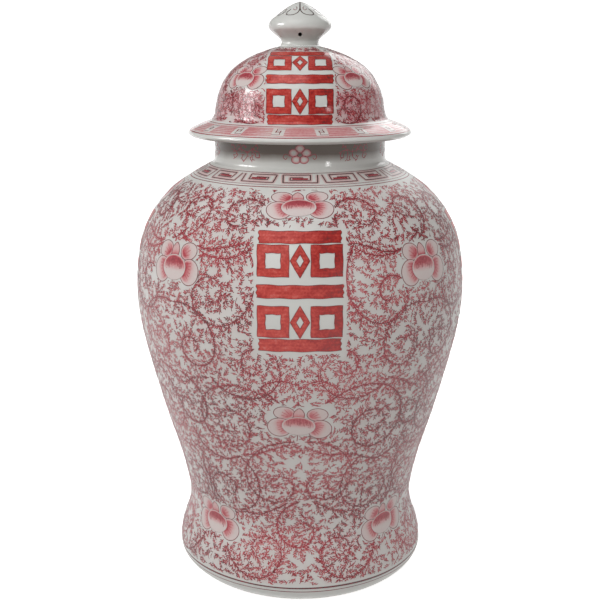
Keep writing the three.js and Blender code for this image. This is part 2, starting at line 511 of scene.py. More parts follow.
def flat_ring(name, radii, heights, sides):
    """A thin ring of bare clay between two radii and two heights."""
    (inner, outer), (low, high) = radii, heights
    return lathe(name, [(inner, low), (inner, high), (outer, high), (outer, low)], sides, closed=True)


def lip(name):
    """The unglazed top of the mouth, where the lid rests."""
    radii = (NECK_RADIUS - NECK_WALL + LIP_ROUND, NECK_RADIUS - LIP_ROUND)
    return flat_ring(name, radii, (MOUTH_HEIGHT - 0.3, MOUTH_HEIGHT + BARE_SKIN), BODY_SIDES)


def lid_seat(name):
    """The unglazed underside of the lid's flange, outside the locating ring."""
    heights = (LID_SEAT_HEIGHT - BARE_SKIN, LID_SEAT_HEIGHT + 0.4)
    return flat_ring(name, (RING_OUTER_RADIUS + 0.2, NECK_RADIUS + 3), heights, LID_SIDES)


def knob(name):
    """A hollow bud. Its vent is cut through the front wall."""
    outside = lathe("knob_outside", [(0, KNOB_BASE_HEIGHT), *smooth(KNOB_OUTLINE)], KNOB_SIDES)
    hollow = lathe("knob_hollow", smooth(KNOB_HOLLOW), KNOB_SIDES)
    vent = lathe("knob_vent", [(0, 6), (VENT_RADIUS, 6), (VENT_RADIUS, 40), (0, 40)], 24)
    turned = [(v.co.x, -v.co.z, VENT_HEIGHT * MM + v.co.y) for v in vent.vertices]
    vent.vertices.foreach_set("co", np.array(turned).ravel())
    return cut(name, outside, [hollow, vent])


def cut(name, mesh, tools):
    """A copy of a mesh with other meshes cut out of it."""
    whole = put(name, mesh)
    knives = [put(tool.name, tool) for tool in tools]
    for knife in knives:
        cutter = whole.modifiers.new(knife.name, "BOOLEAN")
        cutter.operation = "DIFFERENCE"
        cutter.object = knife
    seen = whole.evaluated_get(bpy.context.evaluated_depsgraph_get())
    made = bpy.data.meshes.new_from_object(seen)
    for used in [whole, *knives]:
        bpy.data.objects.remove(used)
    soften(made)
    return made


# Turned pieces: name, maker, material, body, slot and the CAD node each one stands for.
PORCELAIN = [
    ("lower_body_glazed", lower_body, BODY_GLAZE, "jar", "decorated_porcelain", "lower_body"),
    ("upper_body_glazed", upper_body, BODY_GLAZE, "jar", "decorated_porcelain", "upper_body"),
    ("neck_glazed", neck, NECK_GLAZE, "jar", "plain_porcelain", "neck"),
    ("lid_shell_glazed", lid_shell, LID_GLAZE, "lid", "decorated_porcelain", "lid_shell"),
    ("lid_locating_ring_bare", lid_locating_ring, BARE_CLAY, "lid", "bare_porcelain", "lid_locating_ring"),
    ("foot_ring_bare", foot_ring, BARE_CLAY, "jar", "bare_porcelain", None),
    ("mouth_lip_bare", lip, BARE_CLAY, "jar", "bare_porcelain", None),
    ("lid_seat_bare", lid_seat, BARE_CLAY, "lid", "bare_porcelain", None),
    ("knob_glazed", knob, LID_GLAZE, "lid", "plain_porcelain", "knob"),
]
for name, make, material, body, slot, node in PORCELAIN:
    show(name, make(name), material, body, slot, node)


# ---------------------------------------------------------------- paint as geometry
# Every mark is a thin closed sliver, sunk a little into the glaze and standing a little proud.
# It shades with the direction of the surface under it, as paint under a glaze does.

SINK = 0.09
THIN_LIFT = 0.07
FLOWER_LIFT = 0.07
LAYER = 0.06

ROSE = 0.0
VERMILION = 1.0

LEAF_RIM = np.array([(0, 0), (0.26, -0.5), (0.66, -0.42), (1, 0), (0.66, 0.42), (0.26, 0.5)])
LEAF_HEART = 0.46
# How dark a leaf is at each point of its rim, at its heart and under it, against the whole leaf.
LEAF_SHADES = np.array([0.85, 0.9, 1.15, 1.5, 1.15, 0.9, 0.8, 1.0])


def toned(density, hue, shape):
    """Pigment for each spot of a shape, as rows of (density, hue)."""
    return np.stack([np.broadcast_to(density, shape), np.broadcast_to(hue, shape)], axis=-1)


class Paint:
    """Marks on one skin. A mark's places are rows of (angle, along)."""

    def __init__(self, skin):
        self.skin = skin
        self.places = []
        self.lifts = []
        self.tones = []
        self.faces = []
        self.count = 0

    def add(self, places, lifts, tones, faces):
        self.places.append(places)
        self.lifts.append(lifts)
        self.tones.append(tones)
        self.faces.append(faces + self.count)
        self.count += len(places)

    def shifted(self, angle, along, east, north):
        """The place a short way east and north of another, in millimetres on the surface."""
        radius = np.maximum(self.skin.radius(along + north), 1)
        return np.stack([angle + np.degrees(east / radius), along + north], axis=-1)

    def leaves(self, places, ways, lengths, widths, densities, hues):
        """One pointed leaf from each place, paler at its heart than at its edge."""
        along_leaf = LEAF_RIM[:, 0] * lengths[:, None]
        across = LEAF_RIM[:, 1] * widths[:, None]
        heart = LEAF_HEART * lengths[:, None]
        along_leaf = np.concatenate([along_leaf, heart, heart], axis=1)
        across = np.concatenate([across, 0 * heart, 0 * heart], axis=1)
        turn = ways[:, None]
        east = along_leaf * np.cos(turn) - across * np.sin(turn)
        north = along_leaf * np.sin(turn) + across * np.cos(turn)
        spots = self.shifted(places[:, :1], places[:, 1:], east, north)
        rim = len(LEAF_RIM)
        lifts = np.array([THIN_LIFT] * rim + [THIN_LIFT + 0.05, -SINK])
        tones = toned(densities[:, None] * LEAF_SHADES, hues[:, None], (len(places), rim + 2))
        corner = np.arange(rim)
        after = (corner + 1) % rim
        top = np.stack([corner, after, np.full(rim, rim)], axis=-1)
        under = np.stack([after, corner, np.full(rim, rim + 1)], axis=-1)
        fan = np.concatenate([top, under])
        starts = np.arange(len(places))[:, None, None] * (rim + 2)
        self.add(
            spots.reshape(-1, 2), np.tile(lifts, len(places)), tones.reshape(-1, 2),
            (fan + starts).reshape(-1, 3),
        )

    def stroke(self, path, width, density, hue=ROSE, lift=THIN_LIFT):
        """A brush line along a path of places, with a width that is one number or one per place."""
        path = np.asarray(path, float)
        count = len(path)
        radius = np.maximum(self.skin.radius(path[:, 1]), 1)
        step = np.gradient(path, axis=0)
        east = np.radians(step[:, 0]) * radius
        north = step[:, 1]
        size = np.maximum(np.hypot(east, north), 1e-9)
        half = np.broadcast_to(np.asarray(width, float) / 2, count)
        angle, along = path.T
        left = self.shifted(angle, along, -north / size * half, east / size * half)
        right = self.shifted(angle, along, north / size * half, -east / size * half)
        spots = np.stack([left, right, path], axis=1).reshape(-1, 2)
        lifts = np.tile([lift, lift, -SINK], count)
        tones = np.repeat(toned(density, hue, count), 3, axis=0)
        first = np.arange(count - 1)[:, None] * 3
        tube = np.array([(0, 1, 4), (0, 4, 3), (1, 2, 5), (1, 5, 4), (0, 3, 5), (0, 5, 2)])
        faces = (first[:, :, None] + tube).reshape(-1, 3)
        last = (count - 1) * 3
        caps = np.array([(0, 2, 1), (last, last + 1, last + 2)])
        self.add(spots, lifts, tones, np.concatenate([faces, caps]))

    def loft(self, rows, tones, lift, wrap):
        """A filled shape through rows of places. Rows that wrap close on themselves."""
        high, wide = rows.shape[:2]
        grid = np.arange(high * wide).reshape(high, wide)
        under = grid + high * wide
        here = slice(None) if wrap else slice(0, wide - 1)
        beyond = np.roll(np.arange(wide), -1)[here]
        near = np.arange(wide)[here]
        faces = []

        def quads(a, b, c, d):
            corners = np.stack([a.ravel(), b.ravel(), c.ravel(), d.ravel()], axis=-1)
            faces.append(corners[:, [0, 1, 2]])
            faces.append(corners[:, [0, 2, 3]])

        low, up = grid[:-1], grid[1:]
        quads(low[:, near], low[:, beyond], up[:, beyond], up[:, near])
        low, up = under[:-1], under[1:]
        quads(low[:, beyond], low[:, near], up[:, near], up[:, beyond])
        quads(grid[0, beyond], grid[0, near], under[0, near], under[0, beyond])
        quads(grid[-1, near], grid[-1, beyond], under[-1, beyond], under[-1, near])
        if not wrap:
            quads(grid[:-1, 0], grid[1:, 0], under[1:, 0], under[:-1, 0])
            quads(grid[1:, -1], grid[:-1, -1], under[:-1, -1], under[1:, -1])
        spots = rows.reshape(-1, 2)
        lifts = np.concatenate([np.full(len(spots), lift), np.full(len(spots), -SINK)])
        shades = np.concatenate([tones.reshape(-1, 2)] * 2)
        self.add(np.concatenate([spots, spots]), lifts, shades, np.concatenate(faces))

    def mesh(self, name):
        places = np.concatenate(self.places)
        spots, ways = self.skin.place(places[:, 0], places[:, 1], np.concatenate(self.lifts))
        faces = np.concatenate(self.faces)
        mesh = bpy.data.meshes.new(name)
        mesh.vertices.add(len(spots))
        mesh.vertices.foreach_set("co", (spots * MM).ravel())
        mesh.loops.add(faces.size)
        mesh.loops.foreach_set("vertex_index", faces.ravel().astype(np.int32))
        mesh.polygons.add(len(faces))
        mesh.polygons.foreach_set("loop_start", np.arange(0, faces.size, 3, dtype=np.int32))
        mesh.update(calc_edges=True)
        mesh.shade_smooth()
        mesh.normals_split_custom_set_from_vertices(ways)
        tones = np.ones((len(spots), 4))
        tones[:, :2] = np.concatenate(self.tones)
        colour = mesh.attributes.new("pigment", "FLOAT_COLOR", "POINT")
        colour.data.foreach_set("color", tones.ravel())
        return mesh


# ---------------------------------------------------------------- keeping marks apart


class Ground:
    """A fine grid over a skin that remembers which mark holds each spot."""

    CELL = 0.6
    TAKEN = -1

    def __init__(self, skin, start, end):
        self.skin = skin
        self.start = start
        self.rows = int((end - start) / self.CELL)
        self.columns = int(2 * math.pi * skin.radius(np.linspace(start, end, 50)).max() / self.CELL)
        self.owners = np.zeros((self.rows, self.columns), np.int32)
        self.radii = skin.radius(start + np.arange(self.rows + 1) * self.CELL)

    def radius(self, along):
        return self.radii[min(max(int((along - self.start) / self.CELL), 0), self.rows)]

    def owner(self, angle, along):
        """Who holds a spot: 0 is nobody, and everything outside the ground is taken."""
        row = int((along - self.start) / self.CELL)
        if row < 0 or row >= self.rows or along < self.start:
            return self.TAKEN
        return self.owners[row, int(angle / 360 * self.columns) % self.columns]

    def claim(self, angle, along, reach, owner, high=None):
        """Claims what is still free in an oval: reach each way along the ring, high up and down."""
        high = high or reach
        radius = self.radius(along)
        row = (along - self.start) / self.CELL
        column = angle / 360 * self.columns
        tall = high / self.CELL
        wide = reach / (2 * math.pi * radius) * self.columns
        rows = np.arange(max(int(row - tall), 0), min(int(row + tall) + 2, self.rows))
        columns = np.arange(int(column - wide), int(column + wide) + 2)
        inside = ((rows[:, None] - row) / tall) ** 2 + ((columns - column) / wide) ** 2 <= 1
        cells = np.ix_(rows, columns % self.columns)
        block = self.owners[cells]
        self.owners[cells] = np.where(inside & (block == 0), owner, block)

    def claim_box(self, angle, along, east, north):
        """Takes a box of the ground, so that nothing grows there."""
        for up in np.arange(-north, north + self.CELL, self.CELL):
            radius = self.radius(along + up)
            row = int((along + up - self.start) / self.CELL)
            if 0 <= row < self.rows:
                reach = math.degrees(east / radius) / 360 * self.columns
                middle = angle / 360 * self.columns
                columns = np.arange(int(middle - reach), int(middle + reach) + 1) % self.columns
                self.owners[row, columns] = self.TAKEN


# ---------------------------------------------------------------- the vine

STEM_WIDTH = 0.95
TWIG_WIDTH = 0.55
SHORT_STEM = 4
STEM_LIFT = 0.13
TWIG_GAP = 2.1
TWIG_EVERY = 3.7
TWIG_LENGTH = 8.5
TWIG_SPREAD = math.radians(55)
GROW_STEP = 1.3
LEAF_EVERY = 0.8
LEAF_SPREAD = math.radians(43)
LEAF_LENGTH = 3.2
LEAF_WIDTH = 1.1
LEAF_GAP = 0.42
SCROLL_CALM = 0.45
HAZE_CELL = 3.0
HAZE_FULL = 2.2
SPRIG_ORDER = 9
SPRIG_LENGTHS = (5, 13)
LINE_CLEARANCE = 0.55
LEAVING_PARENT = 1.7
SHORT_TWIG = 1.5
SCROLL_HEART = 3.2
SCROLL_TIGHTENING = 0.85
SCROLL_SETTLING = 3.4


class Vine:
    """A scrolling vine that fills its ground: stems first, then twigs, then leaves."""

    def __init__(self, skin, start, end, seed):
        self.skin = skin
        self.start = start
        self.end = end
        self.chance = np.random.default_rng(seed)
        self.stems = Ground(skin, start, end)
        self.leaf_ground = Ground(skin, start, end)
        self.lines = []
        self.leaf_spots = []
        self.scrolls = []
        self.owner = 0

    def keep_clear(self, angle, along, east, north, oval=True):
        for ground in (self.stems, self.leaf_ground):
            if oval:
                ground.claim(angle, along, east, Ground.TAKEN, north)
            else:
                ground.claim_box(angle, along, east, north)

    def new_line(self, path, width, order):
        """Claims the ground round a path and keeps it as a line of the vine."""
        self.owner += 1
        for angle, along in path:
            self.stems.claim(angle, along, TWIG_GAP, self.owner)
            self.leaf_ground.claim(angle, along, LINE_CLEARANCE, self.owner)
        self.lines.append((np.array(path), width, order, self.owner))

    def add_stem(self, path):
        """Adds a stem, leaving out any part that would cross ground that is kept clear."""
        for clear, run in itertools.groupby(path, lambda spot: self.stems.owner(*spot) != Ground.TAKEN):
            run = list(run)
            if clear and len(run) > SHORT_STEM:
                self.new_line(run, STEM_WIDTH, 0)

    def add_scroll(self, centre, root, radius, turns, hand):
        self.scrolls.append((*centre, radius))
        self.add_stem(scroll(self.skin, centre, root, radius, turns, hand))

    def in_scroll(self, angle, along):
        for middle, height, radius in self.scrolls:
            east = math.radians((angle - middle + 180) % 360 - 180) * self.stems.radius(along)
            if math.hypot(east, along - height) < radius:
                return True
        return False

    def grow(self, angle, along, way, bend, length, parent):
        """A twig's path, ended before it comes too near another line."""
        path = [(angle, along)]
        walked = 0
        while walked < length:
            radius = self.stems.radius(along)
            angle += math.degrees(math.cos(way) * GROW_STEP / radius)
            along += math.sin(way) * GROW_STEP
            way += bend * GROW_STEP
            walked += GROW_STEP
            held = self.stems.owner(angle, along)
            if held != 0 and not (held == parent and walked < TWIG_GAP * LEAVING_PARENT):
                break
            path.append((angle, along))
        return path

    def branch(self, order, length, every):
        """Grows twigs from both sides of every line of an order."""
        for path, _, line_order, parent in list(self.lines):
            if line_order != order:
                continue
            stride = every / GROW_STEP
            spot = self.chance.uniform(0.3, 0.9) * stride
            side = 1 if self.chance.random() < 0.5 else -1
            while spot < len(path) - 2:
                here = int(spot)
                way = self.way_at(path, here) + side * TWIG_SPREAD * self.chance.uniform(0.8, 1.2)
                bend = -side * self.chance.uniform(-0.02, 0.09)
                reach = length * self.chance.uniform(0.6, 1.1)
                angle, along = path[here]
                grown = self.grow(angle, along, way, bend, reach, parent)
                if len(grown) * GROW_STEP > TWIG_GAP * SHORT_TWIG:
                    self.new_line(grown, TWIG_WIDTH, order + 1)
                side = -side
                spot += stride * self.chance.uniform(0.75, 1.25)

    def way_at(self, path, index):
        before = path[max(index - 1, 0)]
        after = path[min(index + 1, len(path) - 1)]
        radius = self.stems.radius(path[index][1])
        return math.atan2(after[1] - before[1], math.radians(after[0] - before[0]) * radius)

    def fill(self, tries):
        """Sets loose sprigs into the gaps that are left."""
        for _ in range(tries):
            angle = self.chance.uniform(0, 360)
            along = self.chance.uniform(self.start + 1, self.end - 1)
            if self.stems.owner(angle, along) != 0:
                continue
            if self.in_scroll(angle, along) and self.chance.random() < SCROLL_CALM:
                continue
            way = self.chance.uniform(0, 2 * math.pi)
            bend = self.chance.choice([-1, 1]) * self.chance.uniform(0.05, 0.17)
            grown = self.grow(angle, along, way, bend, self.chance.uniform(*SPRIG_LENGTHS), 0)
            if len(grown) >= 3:
                self.new_line(grown, TWIG_WIDTH, SPRIG_ORDER)

    def depth_of_colour(self, angle, along):
        """Painted darkness at a spot: the brush was loaded again every hand's breadth."""
        turn = np.radians(angle)
        wave = np.sin(3 * turn + along * 0.031) * np.sin(2 * turn - along * 0.043 + 1.7)
        return 0.80 + 0.12 * wave

    def paint(self, parts):
        """Draws the lines and leaves. A part is (upper limit, stem paint, leaf paint)."""
        made = [[] for _ in parts]
        for path, width, order, owner in self.lines:
            part = next(i for i, row in enumerate(parts) if path[len(path) // 2][1] < row[0])
            count = len(path)
            taper = np.interp(np.arange(count) / (count - 1), [0, 0.7, 1], [1, 0.9, 0.45])
            dark = self.depth_of_colour(path[:, 0], path[:, 1])
            dark = dark + self.chance.uniform(-0.08, 0.06)
            widths = width * taper * self.chance.uniform(0.85, 1.2)
            lift = STEM_LIFT if order == 0 else THIN_LIFT
            density = np.clip(dark + 0.06 * (order == 0), 0.4, 0.88)
            parts[part][1].stroke(path, widths, density, ROSE, lift)
            made[part].extend(self.leaf_pairs(path, owner, 1.0 if order == 0 else 0.88))
        for rows, (_, _, leaf_paint) in zip(made, parts):
            rows = np.array(rows)
            self.leaf_spots.append(rows[:, :2])
            leaf_paint.leaves(rows[:, :2], *rows[:, 2:].T)

    def haze(self):
        """A soft map of how thickly leaves cover the ground, as a function of place."""
        spots = np.concatenate(self.leaf_spots)
        rows = int((self.end - self.start) / HAZE_CELL)
        widest = self.skin.radius(np.linspace(self.start, self.end, 50)).max()
        columns = int(2 * math.pi * widest / HAZE_CELL)
        limits = [(self.start, self.end), (0, 360)]
        counts, _, _ = np.histogram2d(spots[:, 1], spots[:, 0] % 360, (rows, columns), limits)
        radii = self.skin.radius(self.start + (np.arange(rows) + 0.5) * HAZE_CELL)
        counts = counts * (radii.max() / radii)[:, None] / HAZE_FULL
        for _ in range(2):
            counts = (np.roll(counts, 1, 1) + counts * 2 + np.roll(counts, -1, 1)) / 4
            padded = np.pad(counts, ((1, 1), (0, 0)), mode="edge")
            counts = (padded[:-2] + padded[1:-1] * 2 + padded[2:]) / 4

        def at(angle, along):
            row = np.floor((along - self.start) / HAZE_CELL).astype(int)
            column = np.floor(angle / 360 * columns).astype(int) % columns
            inside = (row >= 0) & (row < rows)
            return np.where(inside, counts[np.clip(row, 0, rows - 1), column], 0)

        return at

    def leaf_pairs(self, path, owner, size):
        made = []
        walked = np.arange(len(path)) * GROW_STEP
        spot = self.chance.uniform(0.6, 1.6)
        side = 1
        while spot < walked[-1]:
            angle = np.interp(spot, walked, path[:, 0])
            along = np.interp(spot, walked, path[:, 1])
            ahead = self.way_at(path, int(spot / GROW_STEP))
            way = ahead + side * LEAF_SPREAD * self.chance.uniform(0.7, 1.3)
            self.try_leaf(made, angle, along, way, owner, size)
            side = -side
            spot += LEAF_EVERY * self.chance.uniform(0.7, 1.3)
        ahead = self.way_at(path, len(path) - 1)
        self.try_leaf(made, path[-1][0], path[-1][1], ahead, owner, size)
        return made

    def try_leaf(self, made, angle, along, way, owner, size):
        """Adds a leaf if the ground at its middle and tip is free."""
        length = LEAF_LENGTH * size * self.chance.uniform(0.75, 1.25)
        radius = self.leaf_ground.radius(along)
        reach = {}
        for share in (0.55, 1.0):
            east = math.cos(way) * length * share
            spot = (angle + math.degrees(east / radius), along + math.sin(way) * length * share)
            if self.leaf_ground.owner(*spot) not in (0, owner):
                return
            reach[share] = spot
        for spot in reach.values():
            self.leaf_ground.claim(spot[0], spot[1], LEAF_GAP, Ground.TAKEN)
        width = LEAF_WIDTH * size * self.chance.uniform(0.8, 1.2)
        dark = self.depth_of_colour(angle, along) + self.chance.uniform(-0.2, 0.12)
        hue = self.chance.uniform(0, 0.3)
        made.append((angle, along, way, length, width, dark, hue))


def tint(piece, skin, haze, strongest):
    """Writes the wash attribute: the haze of the paint on the outer side of a turned piece."""
    mesh = piece.data
    spots = np.empty(len(mesh.vertices) * 3)
    mesh.vertices.foreach_get("co", spots)
    spots = spots.reshape(-1, 3) / MM
    angle = np.degrees(np.arctan2(spots[:, 0], -spots[:, 1]))
    along = skin.along(spots[:, 2])
    outer = np.hypot(spots[:, 0], spots[:, 1]) > skin.radius(along) - 2
    wash = np.where(outer, np.clip(haze(angle, along), 0, 1) * strongest, 0)
    mesh.attributes.new("wash", "FLOAT", "POINT").data.foreach_set("value", wash)


def curve_through(stations, skin, spacing=GROW_STEP):
    """A smooth path of places through (angle, along) stations, in even steps."""
    rough = smooth(stations, 40)
    radius = skin.radius(rough[:, 1])[1:]
    step = np.diff(rough, axis=0)
    walked = np.concatenate([[0], np.cumsum(np.hypot(np.radians(step[:, 0]) * radius, step[:, 1]))])
    spots = np.linspace(0, walked[-1], max(int(walked[-1] / spacing), 4))
    return np.stack([np.interp(spots, walked, rough[:, axis]) for axis in (0, 1)], axis=-1)


def scroll(skin, centre, root, radius, turns, handed):
    """A stem that leaves its root, joins a round of the given radius and winds to the centre."""
    ring = skin.radius(centre[1])
    east = math.radians(root[0] - centre[0]) * ring
    north = root[1] - centre[1]
    share = np.linspace(0, 1, 90)
    turn = math.atan2(north, east) + handed * 2 * math.pi * turns * share
    inward = SCROLL_HEART + (radius - SCROLL_HEART) * (1 - share) ** SCROLL_TIGHTENING
    settle = (math.hypot(east, north) - radius) * np.exp(-share * turns * SCROLL_SETTLING)
    reach = inward + settle
    along = centre[1] + reach * np.sin(turn)
    angle = centre[0] + np.degrees(reach * np.cos(turn) / skin.radius(along))
    rough = np.stack([angle, along], axis=-1)
    return curve_through(rough[::3], skin)


# ---------------------------------------------------------------- flowers, bands and panels

PANEL_ANGLES = (0, 90, 180, 270)
FLOWER_ANGLES = (45, 135, 225, 315)
OUTLINE_WIDTH = 0.6
OUTLINE_DARK = 0.86
RING_WAVER = 0.12


def ellipse(centre, wide, tall, sides, point=0.0):
    """An oval ring of (x, y), drawn out to a point at its top by a share of its height."""
    turn = np.arange(sides) * 2 * math.pi / sides
    x = centre[0] + wide * np.cos(turn) * (1 - point * np.clip(np.sin(turn), 0, 1) ** 3)
    y = centre[1] + tall * np.sin(turn)
    return np.stack([x, y], axis=-1)


def closed_path(ring):
    return np.concatenate([ring, ring[:1]])


class Motif:
    """Draws shapes given in local millimetres round one place on a skin."""

    def __init__(self, paint, angle, along, size=(1.0, 1.0), tilt=0.0, mirror=1):
        self.paint = paint
        self.angle = angle
        self.along = along
        self.size = size
        self.tilt = tilt
        self.mirror = mirror

    def places(self, spots):
        spots = np.asarray(spots, float)
        x = spots[..., 0] * self.size[0] * self.mirror
        y = spots[..., 1] * self.size[1]
        east = x * math.cos(self.tilt) - y * math.sin(self.tilt)
        north = x * math.sin(self.tilt) + y * math.cos(self.tilt)
        return self.paint.shifted(self.angle, self.along, east, north)

    def line(self, spots, width=OUTLINE_WIDTH, density=OUTLINE_DARK, hue=ROSE, lift=FLOWER_LIFT):
        self.paint.stroke(self.places(spots), width, density, hue, lift)

    def petal(self, ring, shade, lift, rows=8):
        """A filled ring whose density is shade(x, y, share), with share 1 at its rim."""
        middle = ring.mean(axis=0)
        shares = np.linspace(1, 0.04, rows)
        spots = middle + (ring - middle) * shares[:, None, None]
        density = shade(spots[..., 0], spots[..., 1], shares[:, None])
        tones = toned(density, ROSE, spots.shape[:2])
        placed = self.places(spots)
        if self.mirror < 0:
            placed = placed[:, ::-1]
            tones = tones[:, ::-1]
        self.paint.loft(placed, tones, lift, wrap=True)


def fade(value, start, end):
    """0 before start, 1 past end, and smooth between."""
    share = np.clip((value - start) / (end - start), 0, 1)
    return share * share * (3 - 2 * share)


# Side petals of a lotus, the back pair first: middle, half size, points round it, the core that the
# colour comes from, its reach and strength, half size of the hatched part, strokes and layer.
SIDE_PETALS = [
    ((12, 8.2), (7.6, 5.0), 32, (4, 4), 13, 0.42, (6.0, 3.8), 9, 0),
    ((14.5, -3.5), (8.8, 7.4), 36, (6, 0), 15, 0.46, (7.0, 5.8), 11, 1),
]


def side_petal(motif, petal, strength, chance):
    middle, half, sides, core, reach, strongest, hatched, strokes, layer = petal
    lift = FLOWER_LIFT + layer * LAYER
    ring = ellipse(middle, *half, sides)
    motif.petal(ring, lambda x, y, share: wash(x, y, share, core, reach, strongest * strength), lift)
    motif.line(closed_path(ring), lift=lift + 0.03)
    hatch(motif, core, middle, hatched, strokes, lift + 0.02, chance)


def lotus(paint, angle, along, size, chance, strength=1.0):
    """A lotus of four rounded petals behind a full front petal, under a small pointed bud."""
    tilt = chance.uniform(-0.08, 0.08)
    for petal in SIDE_PETALS:
        for side in (-1, 1):
            side_petal(Motif(paint, angle, along, size, tilt, side), petal, strength, chance)
    motif = Motif(paint, angle, along, size, tilt)
    bud = ellipse((-1.3, 7.3), 4.0, 5.4, 24, point=0.35)
    motif.petal(bud, lambda x, y, share: 0.25 + 0.35 * strength * fade(y, 9, 4), FLOWER_LIFT + LAYER)
    motif.line(closed_path(bud), lift=FLOWER_LIFT + LAYER + 0.04)
    front = ellipse((-0.9, -1.5), 12, 7.2, 44)
    top_layer = FLOWER_LIFT + 2 * LAYER
    motif.petal(front, lambda x, y, share: front_wash(y, share, strength), top_layer)
    motif.line(closed_path(front) * 0.985, 0.5, 0.10, lift=top_layer + 0.03)
    motif.line(closed_path(front), 0.5, lift=top_layer + 0.02)
    for step in range(17):
        x = -9.5 + step * 1.08 + chance.uniform(-0.2, 0.2)
        top = 4.6 - 0.035 * (x + 0.9) ** 2
        foot = top - chance.uniform(3.5, 6.0)
        spots = [(x, top), (x * 0.97, (top + foot) / 2), (x * 0.93, foot)]
        motif.line(spots, 0.45, 0.75, lift=top_layer + 0.03)
    flower_stalk(motif)


# The ovals a lotus fills, as (x, y, half width, half height), on both sides of its middle.
LOTUS_OVALS = [(12, 8.2, 8.4, 5.8), (14.5, -3.5, 9.6, 8.2), (0, -1.5, 12.5, 8.2), (1, 7.5, 5, 6)]


def keep_lotus_clear(vine, angle, along, size):
    for side in (-1, 1):
        for x, y, wide, tall in LOTUS_OVALS:
            turn = math.degrees(side * x * size[0] / vine.skin.radius(along + y * size[1]))
            vine.keep_clear(angle + turn, along + y * size[1], wide * size[0], tall * size[1])


def wash(x, y, share, core, reach, strongest):
    """Petal colour: strong by the flower's core, pale towards the rim, with a bare margin."""
    from_core = np.hypot(x - core[0], y - core[1])
    return 0.13 + strongest * fade(reach - from_core, 0, reach * 0.8) * fade(1.0 - share, 0.06, 0.24)


def front_wash(y, share, strength):
    body = fade(y, -4.2, 3.0) * fade(1.0 - share, 0.02, 0.16)
    return 0.12 + 0.42 * strength * body


def hatch(motif, core, centre, half, count, lift, chance):
    """Fine strokes that fan from a flower's core over a petal."""
    middle = math.atan2(centre[1] - core[1], centre[0] - core[0])
    for step in range(count):
        turn = middle + (step / (count - 1) - 0.5) * 1.9
        reach = math.hypot(centre[0] - core[0], centre[1] - core[1]) + 0.35 * half[0]
        start = 0.45 + 0.1 * chance.random()
        spots = []
        for share in (start, (start + 1) / 2, 0.86 + 0.12 * chance.random()):
            x = core[0] + math.cos(turn) * reach * share
            y = core[1] + math.sin(turn) * reach * share
            if ((x - centre[0]) / half[0]) ** 2 + ((y - centre[1]) / half[1]) ** 2 < 1:
                spots.append((x, y))
        if len(spots) == 3:
            motif.line(spots, 0.4, 0.62, lift=lift)


def flower_stalk(motif):
    motif.line([(-1.2, -8.6), (-1, -11), (-1.2, -14)], 0.7, 0.8)
    for side in (-1, 1):
        curl = [
            (-1 + side * 1.2, -9.4), (-1 + side * 3.4, -11.6), (-1 + side * 5.4, -11.4),
            (-1 + side * 5.6, -9.9), (-1 + side * 4.4, -9.8),
        ]
        motif.line(smooth(curl, 4), 0.5, 0.75)


# One key of the fret band, in shares of its width and height.
FRET_KEY = [
    (0.06, 0.95), (0.06, 0.08), (0.92, 0.08), (0.92, 0.92), (0.24, 0.92), (0.24, 0.36),
    (0.74, 0.36), (0.74, 0.64), (0.42, 0.64),
]


def eased(corners, spacing=0.9):
    """A path along straight runs, in short steps, so that it bends with the surface."""
    spots = [corners[0]]
    for start, end in zip(corners, corners[1:]):
        start, end = np.array(start, float), np.array(end, float)
        steps = max(int(np.linalg.norm(end - start) / spacing), 2)
        for step in range(1, steps + 1):
            spots.append(tuple(start + (end - start) * step / steps))
    return np.array(spots)


def ring_line(paint, chance, along, width, density, lift=THIN_LIFT):
    """A line all the way round, closed by meeting itself."""
    turns = np.linspace(0, 360, 361)
    phase = chance.uniform(0, 6, 3)
    sway = np.sin(np.radians(turns * 3) + phase[0]) + np.sin(np.radians(turns * 7) + phase[1])
    path = np.stack([turns, along + RING_WAVER * sway], axis=-1)
    widths = width * (1 + 0.12 * np.sin(np.radians(turns * 5) + phase[2]))
    paint.stroke(path, widths, density, ROSE, lift)


def fret_band(paint, low, high, count, chance, wash_density, line_width):
    """A band of squared spirals between two lengths on the outline."""
    tall = high - low
    for key in range(count):
        angle = 360 / count * key
        middle = (low + high) / 2
        wide = math.radians(360 / count) * float(paint.skin.radius(middle)) * 0.96
        motif = Motif(paint, angle, middle, mirror=1 if key % 2 else -1)
        corners = [((x - 0.5) * wide, (y - 0.5) * tall) for x, y in FRET_KEY]
        path = eased(corners)
        path = path + chance.normal(0, 0.06, path.shape)
        motif.line(path, line_width * 3.2, wash_density, lift=THIN_LIFT)
        motif.line(path, line_width, 1.1, lift=THIN_LIFT + 0.04)
        core = np.array([(0.30, 0.42), (0.69, 0.42), (0.69, 0.60), (0.30, 0.60)])
        core = (core - 0.5) * (wide, tall)
        motif.petal(
            eased(closed_path(core), 1.5)[:-1], lambda x, y, share: 0.7, THIN_LIFT + 0.02, rows=3
        )


# ---------------------------------------------------------------- the lattice panel

BAR_HALF = 5.0
PANEL_HALF_WIDTH = 33.5
PANEL_HALF_HEIGHT = 47.5
SQUARE_HALF = 12.4
SQUARE_BORDER = 6.4
SQUARE_OUT = 20.8
SQUARE_MIDDLE = 23.7
LOZENGE_HALVES = (7.6, SQUARE_HALF + 0.6)
LOZENGE_BORDER = 4.6


